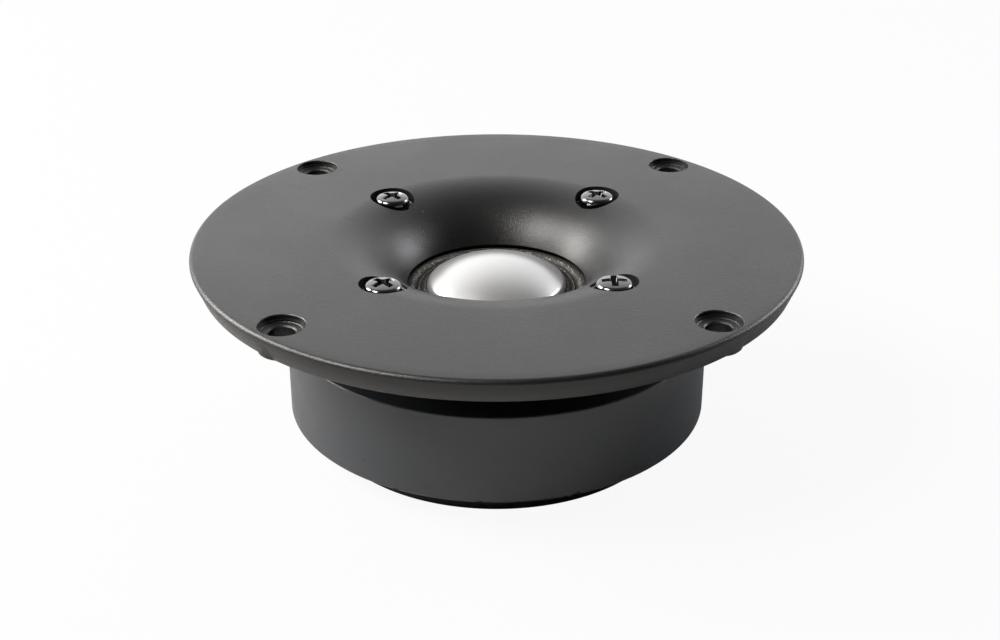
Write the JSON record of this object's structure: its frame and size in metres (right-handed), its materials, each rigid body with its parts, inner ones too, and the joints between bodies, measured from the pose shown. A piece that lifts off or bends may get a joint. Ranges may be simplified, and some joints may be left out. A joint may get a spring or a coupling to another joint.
{
  "type": "dome tweeter",
  "caption": "Round flange-mounted dome tweeter drive unit: shallow waveguide faceplate, metal dome, ferrite ring motor and blade terminals.",
  "frame": {"origin": "on the tweeter's axis, in the plane of the four boss ends under the flange, which seats on the panel", "axes": "+Z out of the front along the dome's axis; +Y towards the side that carries the terminals; +X completes a right-handed set"},
  "size_m": [0.104, 0.104, 0.036],
  "materials": {
    "faceplate_plastic": "fine matte grain, charcoal",
    "screw_steel": "glossy black nickel",
    "dome_metal": "satin, silver-white",
    "surround_cloth": "coated fine weave, dark grey",
    "carrier_plastic": "matte black",
    "former_foil": "bright foil",
    "winding_wire": "enamelled copper colour",
    "pad_felt": "grey felt",
    "bare_steel": "turned",
    "blackened_steel": "black, semi-matte",
    "ferrite": "ground ferrite, dark bluish grey",
    "sleeve_cloth": "varnished braided sleeve",
    "board_laminate": "brown paper laminate",
    "terminal_brass": "tin-plated brass",
    "zinc_steel": "bright zinc",
    "solder": "smooth tin solder"
  },
  "bodies": {
    "frame": {"faceplate": "faceplate_plastic", "assembly_screws": "screw_steel", "surround": "surround_cloth", "surround_carrier": "carrier_plastic", "pole_damping_pad": "pad_felt", "pole_piece": "bare_steel", "top_plate": "blackened_steel", "magnet_ring": "ferrite", "back_plate": "blackened_steel", "lead_wire_positive": "winding_wire", "lead_wire_negative": "winding_wire", "lead_sleeves": "sleeve_cloth", "terminal_board": "board_laminate", "terminal_positive": "terminal_brass", "terminal_negative": "terminal_brass", "terminal_rivets": "terminal_brass", "board_screws": "zinc_steel", "solder_joints": "solder"},
    "diaphragm": {"dome_diaphragm": "dome_metal", "voice_coil_former": "former_foil", "voice_coil_winding": "winding_wire"}
  },
  "joints": [
    {"name": "diaphragm_travel", "type": "slide", "parent": "frame", "child": "diaphragm", "axis": [0, 0, 1], "range_m": [-0.0005, 0.0005], "stiffness_N_per_m": 200, "deforming": ["surround", "lead_wire_positive", "lead_wire_negative"]}
  ]
}
